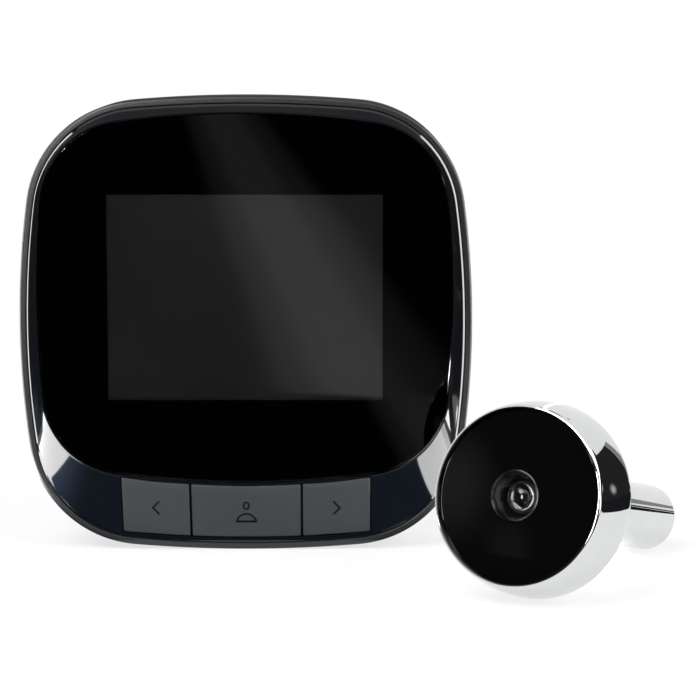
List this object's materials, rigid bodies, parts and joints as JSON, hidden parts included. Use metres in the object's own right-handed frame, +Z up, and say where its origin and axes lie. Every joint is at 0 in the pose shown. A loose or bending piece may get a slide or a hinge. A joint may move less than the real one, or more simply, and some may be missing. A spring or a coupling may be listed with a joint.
{
  "type": "peephole door camera",
  "caption": "Door viewer set: an upright rounded square monitor with a screen and front keys, and a lens head on a through-door tube.",
  "frame": {"origin": "middle of the underside of the set's box, on the surface that both units stand on", "axes": "+X to the right of the monitor's screen, +Y from the screen to the monitor's back, +Z up"},
  "size_m": [0.1388, 0.0792, 0.0964],
  "materials": {
    "glossy_black": "moulded glossy black",
    "matt_grey": "fine matt dark grey",
    "key_grey": "satin mid grey",
    "window_clear": "polished clear",
    "mask_black": "printed black",
    "tape": "adhesive film",
    "foam": "closed-cell foam",
    "screen": "dark screen glass",
    "tray_white": "white moulding",
    "flex_amber": "polyimide film",
    "socket_white": "natural nylon",
    "board_green": "solder mask",
    "chip_black": "moulded epoxy",
    "switch_metal": "stamped steel",
    "plunger_black": "moulded",
    "steel": "zinc plated",
    "nickel": "nickel plated",
    "cell_wrap": "plain sleeved cell",
    "chrome": "polished chrome",
    "face_black": "polished black",
    "collar_black": "black moulding",
    "lens_glass": "coated lens",
    "barrel_black": "black anodised",
    "sensor_glass": "sensor cover glass",
    "rubber_black": "soft black rubber"
  },
  "bodies": {
    "root": {"front_window": "window_clear", "window_mask": "mask_black", "window_tape": "tape", "front_bezel": "glossy_black", "switch_bodies": "switch_metal", "lcd_gasket": "foam", "lcd_panel": "screen", "lcd_backlight": "tray_white", "lcd_ribbon": "flex_amber", "lcd_connector": "socket_white", "lcd_pad": "foam", "main_board": "board_green", "board_chips": "chip_black", "camera_socket": "socket_white", "board_screws": "steel", "rear_housing": "matt_grey", "housing_screws": "steel", "battery_cell_1": "cell_wrap", "battery_cell_2": "cell_wrap", "battery_cell_3": "cell_wrap", "battery_contacts_left": "nickel", "battery_contacts_right": "nickel", "camera_head_shell": "chrome", "face_disc": "face_black", "lens_collar": "collar_black", "front_lens": "lens_glass", "inner_lens": "lens_glass", "lens_barrel": "barrel_black", "lens_holder": "chip_black", "image_sensor": "sensor_glass", "sensor_board": "board_green", "sensor_connector": "socket_white", "sensor_board_screws": "steel", "head_backplate": "matt_grey", "viewer_tube": "chrome", "cable_grommet": "rubber_black", "door_gasket": "rubber_black"},
    "left_button": {"left_key": "key_grey", "left_plunger": "plunger_black"},
    "power_button": {"power_key": "key_grey", "power_plunger": "plunger_black"},
    "right_button": {"right_key": "key_grey", "right_plunger": "plunger_black"},
    "battery_door": {"battery_cover": "matt_grey"},
    "door_plate": {"mounting_bracket": "steel"}
  },
  "joints": [
    {"name": "left_press", "type": "slide", "parent": "root", "child": "left_button", "axis": [0, 1, 0], "range_m": [0, 0.00035], "stiffness_N_per_m": 800},
    {"name": "power_press", "type": "slide", "parent": "root", "child": "power_button", "axis": [0, 1, 0], "range_m": [0, 0.00035], "stiffness_N_per_m": 800},
    {"name": "right_press", "type": "slide", "parent": "root", "child": "right_button", "axis": [0, 1, 0], "range_m": [0, 0.00035], "stiffness_N_per_m": 800},
    {"name": "battery_door_swing", "type": "hinge", "parent": "root", "child": "battery_door", "pos_m": [-0.0216, 0.039, 0.0086], "axis": [-1, 0, 0], "range_deg": [0, 40]},
    {"name": "bracket_release", "type": "slide", "parent": "root", "child": "door_plate", "axis": [0, 0, -1], "range_m": [0, 0.004]}
  ]
}
